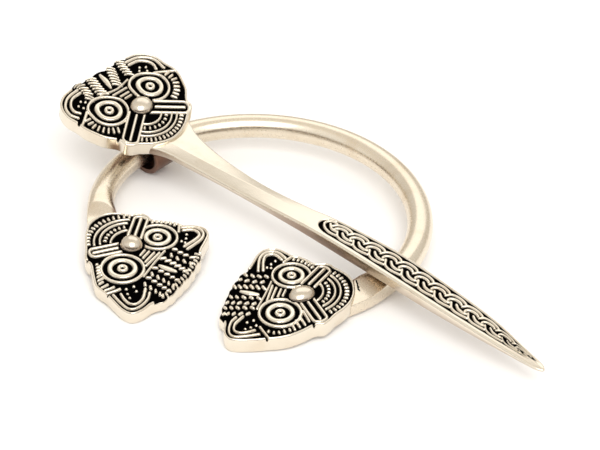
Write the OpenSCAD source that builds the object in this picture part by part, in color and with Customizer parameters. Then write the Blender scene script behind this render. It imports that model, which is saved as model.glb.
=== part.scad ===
/* [Hoop] */
// Radius of the hoop's centre line
hoop_r = 18.5; // [18:0.1:19]
// Diameter of the round bar that the hoop is made of
bar_d = 2.9; // [2.7:0.05:3]
// Angle from the middle of the gap to each end of the bar
gap_half = 57; // [55:1:59]
// Angle along the hoop over which the bar widens into a head
neck_arc = 17; // [14:1:20]
// Thickness of the widened neck
neck_t = 2.1; // [1.8:0.1:2.4]

/* [Terminal heads] */
// Distance of each head's middle from the hoop's middle plane
head_x = 8.5; // [8.3:0.1:9]
// Distance of each head's middle in front of the hoop's centre
head_y = 13.1; // [12.8:0.1:13.3]
// Direction of the right head's muzzle, turned from the X axis
head_turn = 16; // [14:1:18]
// Thickness of the cast plate under the relief
plate_t = 1.5; // [1.3:0.1:1.6]

/* [Relief] */
// Height of the raised ornament
relief_h = 0.4; // [0.3:0.05:0.45]
// Width of the smooth rim, as a share of the head's half width
rim_share = 0.06; // [0.04:0.01:0.08]
// Radius of an eye's outer ring
eye_r = 2.3; // [2.1:0.1:2.4]
// Radius of the muzzle's round end
muzzle_r = 4.6; // [4.4:0.1:4.7]
// Radius of the rounded end of a band
band_r = 1.05; // [0.95:0.05:1.1]
// Radius of the rounded ear
ear_r = 1.85; // [1.7:0.05:1.9]
// Half width of the smooth boss between the eyes
boss_r = 1.35; // [1.2:0.05:1.4]
// Height of the smooth boss above the plate
boss_h = 0.55; // [0.4:0.05:0.55]
// Number of twisted strands in the hair
hair_strands = 7; // [5:1:7]
// Number of bead pairs along a strand
hair_beads = 5; // [3:1:5]
// Width of a plain raised line
line_w = 0.3; // [0.25:0.05:0.35]

/* [Pin] */
// Place of the pin's loop round the hoop, from the X axis
loop_at = 155; // [152:0.5:157]
// Direction in which the pin points, from the X axis
pin_turn = -22.9; // [-24:0.1:-21]
// Length of the pin from the loop to its tip
pin_len = 59; // [56:0.5:60]
// Distance of the pin head's middle behind the loop
pin_head_back = 3.8; // [3.6:0.1:4.6]
// How far the pin head is bent up from the shaft
pin_head_bend = 13; // [9:0.5:14]
// Height of the pin head's underside above the middle of the hoop's bar
pin_under = 2.1; // [2:0.05:2.3]
// How far the loose pin leans over sideways
pin_roll = 4; // [0:0.5:5]
// Gap between the pin and the hoop where the pin rests on it
pin_gap = 0.06; // [0.04:0.01:0.1]

/* [Loop] */
// Radius of the hole that the hoop passes through
loop_hole_r = 2.05; // [2:0.01:2.1]
// Thickness of the loop's metal
loop_wall = 0.6; // [0.5:0.05:0.7]
// Width of the loop along the hoop
loop_w = 3.2; // [2.8:0.1:3.4]
// How far the loop's middle stands in from the bar, towards the shaft
loop_in = 0.35; // [0.25:0.01:0.36]
// How far the loop's middle stands above the bar
loop_up = 0.1; // [0:0.05:0.15]

/* [Plait] */
// Where the plaited panel starts, from the loop
plait_start = 27; // [26:0.5:28]
// Length of one turn of the plait
plait_pitch = 2.35; // [2.2:0.05:2.4]
// Number of turns
plait_count = 11; // [9:1:11]
// Depth of the ground between the strands
plait_deep = 0.3; // [0.2:0.05:0.4]

/* [Hidden] */
$fn = 48;
bar_r = bar_d / 2;
gap_turn = -90;

// A landmark of a head: terminal's outer side, terminal's inner side, pin head's side
eye = [[3.15, -0.3], [-3.3, 0.35], [3.25, 0]];
cap = [[3.6, 4.25], [-4.7, 4.4], [4.1, 4.4]];
notch = [[4.8, 3.3], [-5.2, 3.1], [5.0, 3.5]];
cheek = [[6.2, 1.7], [-6.2, 1.9], [6.3, 1.9]];
corner = [[7.7, -1.2], [-6.7, 0.5], [7.2, -0.4]];
ear = [[6.8, -4.5], [-5.9, -2.1], [5.8, -3.3]];
ear_side = [[8.6, -4.1], [-7.7, -1.7], [7.55, -2.9]];
ear_back = [[6.4, -6.3], [-5.3, -3.8], [5.2, -5.0]];
hair_end = [[4.2, -6.8], [-4.2, -4.8], [4.0, -5.6]];
// A landmark on the middle of a head: terminal, pin head
boss = [[-0.45, 1.75], [0, 1.7]];
muzzle = [[-0.5, 2.9], [0, 2.9]];
hair_mid = [[0.5, -6.6], [0, -5.9]];
hair_root = [[0.2, -2.6], [0, -2.5]];
// How far the edges of an eye's rings stand in from its radius
eye_rings = [[0, line_w], [0.65, 1.15], [1.5, 2.05]];
// Outer radii of the arcs on the muzzle, and the arcs' width
muzzle_arcs = [3.6, 3.1, 2.2];
arc_w = 0.25;
// How far the relief reaches down into the plate
sunk = 0.2;

// Stations of the pin's shaft: share of its length from the loop, near side, far side, underside, top
shaft_rows = [
    [-0.05, 4.0, 4.1, 2.4, 3.5],
    [0.04, 3.3, 3.9, 2.4, 3.5],
    [0.09, 2.25, 2.75, 2.4, 3.48],
    [0.15, 1.9, 2.0, 2.38, 3.38],
    [0.22, 1.6, 1.6, 2.36, 3.26],
    [0.31, 1.36, 1.47, 2.33, 3.25],
    [0.42, 1.08, 1.87, 2.15, 3.42],
    [0.52, 1.0, 2.45, 2.0, 3.5],
    [0.64, 1.08, 2.75, 2.0, 3.44],
    [0.76, 1.1, 2.5, 1.95, 3.15],
    [0.87, 0.85, 2.05, 1.85, 2.69],
    [0.95, 0.45, 1.2, 1.74, 2.24],
    [0.99, 0.1, 0.75, 1.68, 1.98],
    [1.0, -0.1, 0.45, 1.66, 1.91]
];
// Columns of the table above
near = 1;
far = 2;
under = 3;
top = 4;
// Width of the smooth border on each side of the plait
border_near = 0.58;
border_far = 0.25;

loop_out_r = loop_hole_r + loop_wall;
loop_x = hoop_r * cos(loop_at);
loop_y = hoop_r * sin(loop_at);
// The brooch lies on the loop's lowest edge and on the front corners of the two heads
loop_low = loop_out_r - loop_up + loop_w / 2 * sin(pin_roll);
loop_edge_y = loop_y - loop_w / 2 * cos(pin_turn);
head_front = head_y + ear[0][0] * cos(head_turn) - ear[0][1] * sin(head_turn) + ear_r;
lean = asin((loop_low - plate_t / 2) / (loop_edge_y + head_front));
hoop_z = plate_t / 2 * cos(lean) + head_front * sin(lean);
// Where the pin crosses the hoop again, and the slope that lets it rest there
off_line = loop_y * cos(pin_turn) - loop_x * sin(pin_turn);
far_cross = 2 * sqrt(hoop_r * hoop_r - off_line * off_line);
rest_edge = along(near, far_cross / pin_len) * sin(pin_roll);
pin_slope = asin((along(under, far_cross / pin_len) - bar_r - pin_gap - rest_edge) / far_cross);

function mix(a, b, t) = a + (b - a) * t;
function polar(r, a) = [r * cos(a), r * sin(a)];
function heading(a, b) = atan2(b[1] - a[1], b[0] - a[0]);
// A fan-shaped outline between two directions
function wedge(r, from, to) = concat([[0, 0]], [for (i = [0:6]) polar(r, mix(from, to, i / 6))]);
// Side 0 is a terminal's outer side, 1 its inner side, 2 and 3 the pin head's two sides
function at_side(mark, side) = side < 2 ? mark[side] : [mark[2][0] * (side == 2 ? 1 : -1), mark[2][1]];
function sides(kind) = kind == 0 ? [0, 1] : [2, 3];
function out_sign(side) = side % 2 == 0 ? 1 : -1;
// A share from 0 to 1 that starts and ends slowly
function ease(t) = t * t * (3 - 2 * t);
// A column of the shaft's table at a share of its length, on a smooth curve through the stations
function row_of(s, i = 0) = i >= len(shaft_rows) - 2 || s < shaft_rows[i + 1][0] ? i : row_of(s, i + 1);
function tilt_at(column, i) = let (a = shaft_rows[max(i - 1, 0)], b = shaft_rows[min(i + 1, len(shaft_rows) - 1)])
    (b[column] - a[column]) / (b[0] - a[0]);
function along(column, s) = let (
        i = row_of(s),
        a = shaft_rows[i],
        b = shaft_rows[i + 1],
        h = b[0] - a[0],
        t = (s - a[0]) / h
    ) mix(a[column], b[column], ease(t)) + h * t * (1 - t) * (tilt_at(column, i) * (1 - t) - tilt_at(column, i + 1) * t);

// Moves a piece from the hoop's flat plane to the way the brooch lies
module laid() {
    translate([0, 0, hoop_z]) rotate([lean, 0, 0]) children();
}

// Moves a piece to the pin's own frame, with X along the shaft
module on_pin() {
    translate([loop_x, loop_y, 0]) rotate([0, 0, pin_turn]) rotate([0, pin_slope, 0])
        rotate([pin_roll, 0, 0]) children();
}

module ring(outer, inner) {
    difference() {
        circle(r = outer);
        circle(r = inner);
    }
}

// A straight bar of a given width between two points
module stroke(a, b, w) {
    l = norm(b - a);
    translate(a) rotate(heading(a, b)) translate([0, -w / 2]) square([l, w]);
}

// The outline of a whole head
module head_outline(kind) {
    s = sides(kind);
    left = s[0];
    right = s[1];
    translate(muzzle[kind]) circle(r = muzzle_r);
    polygon([
        at_side(notch, left), at_side(cheek, left), at_side(corner, left), at_side(ear_side, left),
        at_side(ear_back, left), at_side(hair_end, left), hair_mid[kind], at_side(hair_end, right),
        at_side(ear_back, right), at_side(ear_side, right), at_side(corner, right),
        at_side(cheek, right), at_side(notch, right)
    ]);
    for (side = s) {
        translate(at_side(ear, side)) circle(r = ear_r);
        translate(at_side(cap, side)) circle(r = band_r);
    }
}

// A smooth rim that follows the outline
module rim(kind) {
    difference() {
        head_outline(kind);
        scale(1 - rim_share) head_outline(kind);
        // The hair has no rim
        polygon([
            at_side(ear_back, sides(kind)[0]), at_side(hair_end, sides(kind)[0]) * 1.5,
            at_side(hair_end, sides(kind)[1]) * 1.5, at_side(ear_back, sides(kind)[1]), [0, 0]
        ]);
    }
}

// Three nested rings on each side
module eyes(kind) {
    for (side = sides(kind)) translate(at_side(eye, side)) {
        for (edges = eye_rings) ring(eye_r - edges[0], eye_r - edges[1]);
    }
}

// A band from the boss to the side of the head: raised border, groove and centre rib
module bands(kind) {
    for (side = sides(kind)) {
        end = at_side(cap, side);
        root = boss[kind] + polar(boss_r, heading(boss[kind], end));
        rib = 0.36;
        difference() {
            union() {
                stroke(root, end, 2 * band_r);
                translate(end) circle(r = band_r);
            }
            stroke(root, end, 2 * band_r - 2 * rib);
            translate(end) circle(r = band_r - rib);
        }
        stroke(root, end, rib);
    }
}

// Rows of arcs, dashes and dots on the muzzle, between the two bands
module muzzle_rows(kind) {
    s = sides(kind);
    clear_of_band = 14;
    dash = [0.32, 0.28];
    dash_gaps = 13;
    dot = [0.26, 0.26];
    dot_gaps = 8;
    from = heading(muzzle[kind], at_side(cap, s[0])) + clear_of_band;
    to = heading(muzzle[kind], at_side(cap, s[1])) - clear_of_band;
    translate(muzzle[kind]) {
        intersection() {
            union() for (r = muzzle_arcs) ring(r, r - arc_w);
            polygon(wedge(2 * muzzle_r, from, to));
        }
        for (i = [0:dash_gaps]) rotate(mix(from + 3, to - 3, i / dash_gaps))
            translate([muzzle_arcs[0] + 0.12, -dash[1] / 2]) square(dash);
        for (i = [0:dot_gaps]) rotate(mix(from + 8, to - 8, i / dot_gaps))
            translate([muzzle_arcs[2] + 0.18, -dot[1] / 2]) square(dot);
    }
}

// Bars between the eyes, widening to the long line below the hair
module bars(kind) {
    root = boss[kind] + [0.1, -1.7];
    slant = 0.12;
    gaps = 3;
    for (i = [0:gaps]) {
        y = mix(root[1], hair_root[kind][1] + 0.35, i / gaps);
        half = mix(0.35, 1.6, i / gaps);
        stroke([root[0] - half, y + slant * i], [root[0] + half, y - slant * i], line_w);
    }
}

// Hatching on each cheek, closed by a slanting line in front of the ear
module cheeks(kind) {
    hatch = [0.7, 0.26];
    gaps = 8;
    for (side = sides(kind)) {
        e = at_side(eye, side);
        from = heading(e, at_side(notch, side));
        swing = -84 * out_sign(side);
        for (i = [0:gaps]) translate(e) rotate(from + swing * i / gaps)
            translate([eye_r + 0.2, -hatch[1] / 2]) square(hatch);
        c = at_side(corner, side);
        stroke(e + polar(eye_r, heading(e, c) - 28 * out_sign(side)), c * 0.97, line_w);
    }
}

// Two nested arcs and a few dots on each ear
module ears(kind) {
    half_open = 110;
    dot_step = 0.5;
    dot_r = 0.15;
    for (side = sides(kind)) {
        c = at_side(ear, side);
        away = heading(at_side(eye, side), c);
        translate(c) intersection() {
            union() {
                ring(ear_r - 0.32, ear_r - 0.58);
                ring(ear_r - 0.85, ear_r - 1.1);
            }
            polygon(wedge(2 * ear_r, away - half_open, away + half_open));
        }
        for (i = [0:1]) for (j = [-1:1]) {
            translate(c) rotate(away) translate([-1.0 + dot_step * i, dot_step * j]) circle(r = dot_r);
        }
    }
}

// Twisted strands of hair, each a row of slanting beads
module hair(kind) {
    s = sides(kind);
    bead = [0.48, 0.22];
    apart = 0.24;
    bead_turn = 32;
    for (i = [0:hair_strands - 1]) {
        t = (i + 0.5) / hair_strands;
        a = hair_root[kind] + [mix(2.1, -2.1, t), -0.35 + 0.5 * abs(t - 0.5)];
        edge = t < 0.5 ? mix(at_side(hair_end, s[0]), hair_mid[kind], 2 * t)
            : mix(hair_mid[kind], at_side(hair_end, s[1]), 2 * t - 1);
        b = mix(a, edge, 0.96);
        step = norm(b - a) / hair_beads;
        for (j = [0:hair_beads - 1], hand = [-1, 1]) {
            translate(a) rotate(heading(a, b)) translate([step * (j + 0.35 + 0.15 * hand), apart * hand])
                rotate(bead_turn * hand) square(bead, center = true);
        }
    }
}

// A whole head: plate, raised ornament and boss, with its middle on the origin
module head(kind) {
    dome = (boss_r * boss_r + boss_h * boss_h) / (2 * boss_h);
    translate([0, 0, -plate_t / 2]) linear_extrude(plate_t) head_outline(kind);
    translate([0, 0, plate_t / 2 - sunk]) linear_extrude(relief_h + sunk) {
        rim(kind);
        eyes(kind);
        bands(kind);
        muzzle_rows(kind);
        bars(kind);
        cheeks(kind);
        ears(kind);
        hair(kind);
    }
    translate([boss[kind][0], boss[kind][1], plate_t / 2 + boss_h - dome]) intersection() {
        sphere(r = dome);
        translate([0, 0, dome - boss_h - sunk]) cylinder(r = 2 * boss_r, h = 2 * boss_h);
    }
}

// The widened end of the bar at the right head
module neck() {
    in_head = 6;
    wide_in = 3.2;
    wide_out = 1.2;
    in_bar = bar_r * 0.8;
    steps = 6;
    a0 = gap_turn + gap_half - in_head;
    arc = neck_arc + in_head;
    edge = [for (i = [0:steps]) let (t = i / steps)
        polar(hoop_r - mix(wide_in, in_bar, ease(t)), a0 + arc * t)];
    back = [for (i = [steps:-1:0]) let (t = i / steps)
        polar(hoop_r + mix(wide_out, in_bar, ease(t)), a0 + arc * t)];
    translate([0, 0, -neck_t / 2]) linear_extrude(neck_t) polygon(concat(edge, back));
}

// The bar, its two necks and the two terminal heads are one casting
module hoop() {
    color("#d8ccb2") laid() {
        rotate([0, 0, gap_turn + gap_half]) rotate_extrude(angle = 360 - 2 * gap_half)
            translate([hoop_r, 0]) circle(r = bar_r);
        for (m = [0, 1]) mirror([m, 0, 0]) {
            neck();
            translate([head_x, -head_y, 0]) rotate(head_turn - 90) head(0);
        }
    }
}

// The loop that the hoop passes through, under the pin's head
module pin_loop() {
    color("#b3a68a") laid() on_pin() translate([loop_in, 0, loop_up]) rotate([90, 0, 0]) difference() {
        cylinder(r = loop_out_r, h = loop_w, center = true);
        cylinder(r = loop_hole_r, h = 2 * loop_w, center = true);
    }
}

// Ground between the strands of the plait: a row of lenses, and pockets along both borders
module plait_ground() {
    lens = plait_pitch * 0.3;
    pocket = plait_pitch * 0.28;
    lead = plait_pitch * 1.25;
    lens_share = 0.28;
    pocket_share = 0.4;
    for (i = [0:plait_count - 1]) {
        x = plait_start + lead + i * plait_pitch;
        for (place = [[x, 0], [x + plait_pitch / 2, 1], [x + plait_pitch, -1]]) {
            share = place[0] / pin_len;
            low = border_near - along(near, share);
            high = along(far, share) - border_far;
            half = (high - low) / 2;
            bulge = half * lens_share;
            bow = (lens * lens + bulge * bulge) / (2 * bulge);
            translate([place[0], (low + high) / 2]) {
                if (place[1] == 0) intersection() {
                    translate([0, bow - bulge]) circle(r = bow);
                    translate([0, bulge - bow]) circle(r = bow);
                }
                else translate([0, place[1] * half]) polygon([
                    [-pocket, 0], [0, -place[1] * half * pocket_share], [pocket, 0]
                ]);
            }
        }
    }
}

// The shaft's side view between two of its lines, each moved up or down
module side_view(low, low_by, high, high_by) {
    steps = 40;
    share = [for (i = [0:steps]) mix(shaft_rows[0][0], 1, i / steps)];
    polygon(concat(
        [for (t = share) [t * pin_len, along(low, t) + low_by]],
        [for (i = [steps:-1:0]) [share[i] * pin_len, along(high, share[i]) + high_by]]
    ));
}

module shaft() {
    steps = 56;
    share = [for (i = [0:steps]) mix(shaft_rows[0][0], 1, i / steps)];
    right = [for (t = share) [t * pin_len, -along(near, t)]];
    left = [for (i = [steps:-1:0]) [share[i] * pin_len, along(far, share[i])]];
    tall = 3 * pin_under;
    wide = 4 * shaft_rows[0][far];
    difference() {
        intersection() {
            linear_extrude(tall) polygon(concat(right, left));
            rotate([90, 0, 0]) linear_extrude(wide, center = true) side_view(under, 0, top, 0);
        }
        intersection() {
            linear_extrude(tall) plait_ground();
            rotate([90, 0, 0]) linear_extrude(wide, center = true) side_view(top, -plait_deep, top, 1);
        }
    }
}

// The pin: shaft, plaited panel and head are one casting, hollowed to ride on its loop
module pin() {
    bend_x = 4;
    ride_gap = 0.05;
    color("#e0d5bd") laid() on_pin() difference() {
        union() {
            shaft();
            translate([bend_x, 0, pin_under]) rotate([0, pin_head_bend, 0]) translate([-bend_x, 0, 0])
                translate([-pin_head_back, 0, plate_t / 2]) rotate(-90) head(1);
        }
        translate([loop_in, 0, loop_up]) rotate([90, 0, 0])
            cylinder(r = loop_out_r + ride_gap, h = loop_w + 2 * ride_gap, center = true);
    }
}

hoop();
pin_loop();
pin();
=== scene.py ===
import math
import bpy
import numpy as np
from mathutils import Matrix, Vector


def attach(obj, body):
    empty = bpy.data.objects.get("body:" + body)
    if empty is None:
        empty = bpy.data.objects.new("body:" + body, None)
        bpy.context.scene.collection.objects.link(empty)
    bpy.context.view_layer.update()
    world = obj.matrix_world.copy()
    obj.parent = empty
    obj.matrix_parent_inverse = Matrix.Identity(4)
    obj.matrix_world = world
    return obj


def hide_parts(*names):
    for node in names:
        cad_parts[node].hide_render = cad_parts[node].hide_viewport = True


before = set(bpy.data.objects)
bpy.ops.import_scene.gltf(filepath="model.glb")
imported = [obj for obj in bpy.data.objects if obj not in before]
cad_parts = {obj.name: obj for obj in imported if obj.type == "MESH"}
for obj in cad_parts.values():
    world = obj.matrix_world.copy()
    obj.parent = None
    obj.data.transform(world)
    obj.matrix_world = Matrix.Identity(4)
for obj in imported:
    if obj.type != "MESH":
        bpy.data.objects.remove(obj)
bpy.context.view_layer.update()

# Camera, table top and light.
# The brooch lies on white paper and is seen from the front right, from above.
# A weak soft light hangs behind it and a stronger one in front; the pale room is dark only low down in front.
IMAGE_WIDTH = 600
IMAGE_HEIGHT = 450
FILM_WIDTH = 36
view_turn = math.radians(20.1)
view_tilt = math.radians(32.87)
view_roll = math.radians(2.82)
view_distance = 0.240
pixels_per_metre = 8770
aim_pixel = (256.06, 232.33)
looks = Vector((-math.sin(view_turn) * math.cos(view_tilt), math.cos(view_turn) * math.cos(view_tilt),
                -math.sin(view_tilt)))
side = Vector((math.cos(view_turn), math.sin(view_turn), 0))
rise = side.cross(looks)
right_of_view = side * math.cos(view_roll) + rise * math.sin(view_roll)
up_of_view = rise * math.cos(view_roll) - side * math.sin(view_roll)
camera = bpy.data.objects.new("camera", bpy.data.cameras.new("camera"))
bpy.context.collection.objects.link(camera)
bpy.context.scene.camera = camera
camera.data.sensor_width = FILM_WIDTH
camera.data.lens = FILM_WIDTH * pixels_per_metre * view_distance / IMAGE_WIDTH
camera.data.shift_x = (IMAGE_WIDTH / 2 - aim_pixel[0]) / IMAGE_WIDTH
camera.data.shift_y = (aim_pixel[1] - IMAGE_HEIGHT / 2) / IMAGE_WIDTH
camera.data.clip_start = 0.01
camera.data.clip_end = 5
turned = Matrix((right_of_view, up_of_view, -looks)).transposed().to_4x4()
camera.matrix_world = Matrix.Translation(-looks * view_distance) @ turned


def fill(tree, sockets, values):
    """Puts a plain value, or the output of another node, into each of these inputs."""
    for name, value in values.items():
        if isinstance(value, bpy.types.NodeSocket):
            tree.links.new(value, sockets[name])
        else:
            sockets[name].default_value = value


def add_node(tree, kind, values=None, **settings):
    """A new node with its settings, and with some of its inputs filled."""
    node = tree.nodes.new(kind)
    for name, setting in settings.items():
        setattr(node, name, setting)
    fill(tree, node.inputs, values or {})
    return node


def tabletop():
    far = 3
    mesh = bpy.data.meshes.new("tabletop")
    mesh.from_pydata([(-far, -far, 0), (far, -far, 0), (far, far, 0), (-far, far, 0)], [], [(0, 1, 2, 3)])
    table = bpy.data.objects.new("tabletop", mesh)
    bpy.context.collection.objects.link(table)
    paper = bpy.data.materials.new("matt white paper")
    paper.use_nodes = True
    fill(paper.node_tree, paper.node_tree.nodes["Principled BSDF"].inputs,
         {"Base Color": (0.97, 0.965, 0.97, 1), "Roughness": 0.9, "Specular IOR Level": 0.1})
    mesh.materials.append(paper)


def soft_light(name, place, size, watts, tint):
    light = bpy.data.lights.new(name, "AREA")
    light.shape = "RECTANGLE"
    light.size = size[0]
    light.size_y = size[1]
    light.energy = watts
    light.color = tint
    lamp = bpy.data.objects.new(name, light)
    lamp.location = place
    lamp.rotation_mode = "QUATERNION"
    lamp.rotation_quaternion = (-Vector(place)).to_track_quat("-Z", "Y")
    bpy.context.collection.objects.link(lamp)


tabletop()
bpy.context.scene.view_settings.view_transform = "Standard"
soft_light("back softbox", (-0.05, 0.34, 0.36), (0.5, 0.3), 0.33, (1.0, 0.99, 0.965))
soft_light("front softbox", (0.16, -0.30, 0.42), (0.4, 0.4), 1.55, (1.0, 0.995, 0.98))

# The walls' colour goes by the angle from the horizon behind the brooch, at 0, over the top, to the one in
# front, at 1
wall_colours = (
    (0.004, (0.7, 0.67, 0.62)), (0.1, (0.7, 0.645, 0.57)), (0.145, (0.78, 0.75, 0.7)),
    (0.32, (0.84, 0.81, 0.765)), (0.41, (0.86, 0.81, 0.74)), (0.53, (0.92, 0.86, 0.77)),
    (0.62, (1.02, 1.0, 0.96)), (0.84, (1.02, 1.0, 0.96)), (0.9, (0.36, 0.3, 0.24)),
    (0.94, (0.06, 0.038, 0.025)), (0.999, (0.04, 0.025, 0.016)))
room = bpy.context.scene.world or bpy.data.worlds.new("room")
bpy.context.scene.world = room
room.use_nodes = True
room_tree = room.node_tree
room_tree.nodes.clear()
direction = add_node(room_tree, "ShaderNodeTexCoord").outputs["Generated"]
upward = add_node(room_tree, "ShaderNodeSeparateXYZ", {0: direction})
backward = add_node(room_tree, "ShaderNodeVectorMath",
                    {0: direction, 1: (-math.sin(view_turn), math.cos(view_turn), 0)},
                    operation="DOT_PRODUCT")
angle = add_node(room_tree, "ShaderNodeMath", {0: upward.outputs["Z"], 1: backward.outputs["Value"]},
                 operation="ARCTAN2")
share = add_node(room_tree, "ShaderNodeMath", {0: angle.outputs[0], 1: math.pi}, operation="DIVIDE")
walls = add_node(room_tree, "ShaderNodeValToRGB", {0: share.outputs[0]})
for place, colour in wall_colours:
    walls.color_ramp.elements.new(place).color = (*colour, 1)
walls.color_ramp.elements.remove(walls.color_ramp.elements[0])
walls.color_ramp.elements.remove(walls.color_ramp.elements[-1])
glow = add_node(room_tree, "ShaderNodeBackground", {"Color": walls.outputs[0]})
add_node(room_tree, "ShaderNodeOutputWorld", {0: glow.outputs[0]})

# Right head.
# A flat cast plate with raised ornament: a beast mask seen from above, its muzzle towards the bar.
# It is cast in one with the hoop, blackened all over, and the high parts are polished bright again.
HOOP_LEAN = math.radians(3.77)
HOOP_HEIGHT = 2.243
PLATE = 1.5
RELIEF = 0.4
GRID_STEP = 0.066
HEAD_X = 8.5
HEAD_Y = 13.1
HEAD_TURN = math.radians(16)
# The table's front, as a direction in a head's own axes
FRONT_X = round(math.cos(HEAD_TURN), 3)
FRONT_Y = round(-math.sin(HEAD_TURN), 3)
# The ear's front corner is drawn in from here on, by this share, to where the head rests on the table
CORNER_FROM = 6.5
CORNER_SHARE = 0.25
# The plate thins out towards the front from here on, over this length
THIN_FROM = 2
THIN_LENGTH = 7.5
# From here on the hair's end is drawn in to this share of its length
HAIR_FROM = -5
HAIR_SHARE = 0.8
# Widths of the raised lines and of the nicks in the rim, and the radius of a dot
BAND_LINE = 0.34
BAND_MIDDLE = 0.36
ARC_LINES = (0.27, 0.27, 0.28)
EAR_LINE = 0.36
BROW_LINE = 0.24
CHEEK_LINE = 0.32
RIM_LINE = 0.13
NICK = 0.3
EAR_DOT = 0.17
# Dashes of the muzzle's inner and outer row: count, length, width
INNER_DASHES = (7, 0.46, 0.28)
OUTER_DASHES = (14, 0.6, 0.29)
OXIDE_ROUGHNESS = 0.55
# Farther away than any line reaches
FAR = 9.0


def lay_hoop():
    return Matrix.Translation((0, 0, HOOP_HEIGHT)) @ Matrix.Rotation(HOOP_LEAN, 4, "X")


def smooth_line(points, closed=False, steps=8):
    """A smooth curve through given points."""
    p = np.array(points, float)
    n = len(p)
    if not closed:
        p = np.vstack([2 * p[0] - p[1], p, 2 * p[-1] - p[-2]])
    out = []
    for i in range(n if closed else n - 1):
        a, b, c, d = (p[(i - 1) % n], p[i], p[(i + 1) % n], p[(i + 2) % n]) if closed else p[i:i + 4]
        for t in np.arange(steps) / steps:
            out.append(0.5 * (2 * b + (c - a) * t + (2 * a - 5 * b + 4 * c - d) * t * t
                              + (3 * b - a - 3 * c + d) * t ** 3))
    if not closed:
        out.append(p[-2])
    return np.array(out)


def arc_through(left, top, right):
    """Points along the circle through three points, from the left one to the right one."""
    ax, ay = left
    bx, by = top
    cx, cy = right
    d = 2 * (ax * (by - cy) + bx * (cy - ay) + cx * (ay - by))
    square_a, square_b, square_c = (x * x + y * y for x, y in (left, top, right))
    ux = (square_a * (by - cy) + square_b * (cy - ay) + square_c * (ay - by)) / d
    uy = (square_a * (cx - bx) + square_b * (ax - cx) + square_c * (bx - ax)) / d
    radius = math.hypot(ax - ux, ay - uy)
    start = math.atan2(ay - uy, ax - ux)
    end = math.atan2(cy - uy, cx - ux)
    if end > start:
        start += 2 * math.pi
    turn = np.linspace(start, end, 25)
    return np.column_stack([ux + radius * np.cos(turn), uy + radius * np.sin(turn)])


def distance_along(curve):
    """Distance from a line's start to each of its points."""
    return np.concatenate([[0], np.cumsum(np.hypot(*np.diff(curve, axis=0).T))])


def heading(curve, step, run, reach=0.1):
    """Where a line is after a run along it, and the direction that it has there."""
    here, ahead, back = (np.array([np.interp(run + d, step, column) for column in curve.T])
                         for d in (0, reach, -reach))
    return here, (ahead - back) / max(np.hypot(*(ahead - back)), 1e-6)


def ease(share):
    """A share from 0 to 1, with a soft start and end."""
    share = np.clip(share, 0, 1)
    return share * share * (3 - 2 * share)


class Relief:
    """Raised ornament over a field of points: how high each point stands, and how bare it is polished."""

    def __init__(self, points):
        self.p = points
        self.height = np.zeros(len(points))
        self.bare = np.zeros(len(points))

    def add(self, distance, half, high=1.0, soft=0.1, crown=0.16, near=None):
        wall = ease((half - distance) / soft + 0.5)
        top = 1 - crown * np.clip(distance / max(half, 1e-6), 0, 1) ** 2
        rows = slice(None) if near is None else near
        self.height[rows] = np.maximum(self.height[rows], high * wall * top)
        polished = np.clip((half - distance) / (soft * 0.8) + 0.35, 0, 1)
        self.bare[rows] = np.maximum(self.bare[rows], polished)

    def line(self, points, width, high=1.0, **more):
        pts = np.asarray(points, float)
        low = pts.min(0) - width - 0.2
        top = pts.max(0) + width + 0.2
        near = np.nonzero(((self.p > low) & (self.p < top)).all(1))[0]
        if not len(near):
            return
        q = self.p[near]
        best = np.full(len(near), FAR)
        for a, b in zip(pts[:-1], pts[1:]):
            ab = b - a
            t = np.clip(((q - a) @ ab) / max(ab @ ab, 1e-9), 0, 1)
            best = np.minimum(best, np.hypot(*(q - a - t[:, None] * ab).T))
        self.add(best, width / 2, high, near=near, **more)

    def dot(self, centre, radius, high):
        self.line([centre, (centre[0] + 1e-3, centre[1])], 2 * radius, high)

    def ring(self, centre, inner, outer):
        away = np.hypot(*(self.p - centre).T)
        near = np.nonzero(away < outer + 0.3)[0]
        self.add(np.abs(away[near] - (inner + outer) / 2), (outer - inner) / 2, near=near)

    def clear(self, cut):
        """Takes away what stands where another relief is cut."""
        self.height *= 1 - cut.height
        self.bare *= 1 - cut.bare

    def dashes(self, curve, count, length, width, lean=0.0, skip=0.03):
        """Short bars across a curve, evenly spaced."""
        step = distance_along(curve)
        turn = math.radians(90 + lean)
        for run in np.linspace(skip, 1 - skip, count) * step[-1]:
            centre, along = heading(curve, step, run, reach=0.05)
            across = np.array([along[0] * math.cos(turn) - along[1] * math.sin(turn),
                               along[0] * math.sin(turn) + along[1] * math.cos(turn)])
            half = across * max(length - width, 0.01) / 2
            self.line([centre - half, centre + half], width)

    def rope(self, spine):
        """A twisted strand: slanting beads, alternately on one side and the other of its middle."""
        pitch = 0.82
        spread = 0.5
        curve = smooth_line(spine)
        step = distance_along(curve)
        for run in np.arange(0.2, step[-1] - 0.05, pitch):
            for hand, late in ((-1, 0.0), (1, 0.5)):
                here, along = heading(curve, step, min(run + late * pitch, step[-1]))
                across = np.array([-along[1], along[0]]) * hand
                bead = along * 0.13 + across * 0.1
                middle = here + across * spread
                self.line([middle - bead, middle + bead], 0.37, 0.95, crown=0.35)

    def twist(self, spine, half):
        """A finer twisted strand: slanting ribs across its whole width."""
        pitch = 0.47
        curve = smooth_line(spine)
        step = distance_along(curve)
        for run in np.arange(0.1, step[-1] + 0.01, pitch):
            here, along = heading(curve, step, run)
            across = np.array([-along[1], along[0]])
            rib = across * half + along * half * 0.55
            hollow = here + along * 0.14
            bend = smooth_line([here - rib, hollow, here + rib * 0.9], steps=4)
            self.line(bend, 0.21, 0.95, soft=0.08, crown=0.3)


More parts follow.
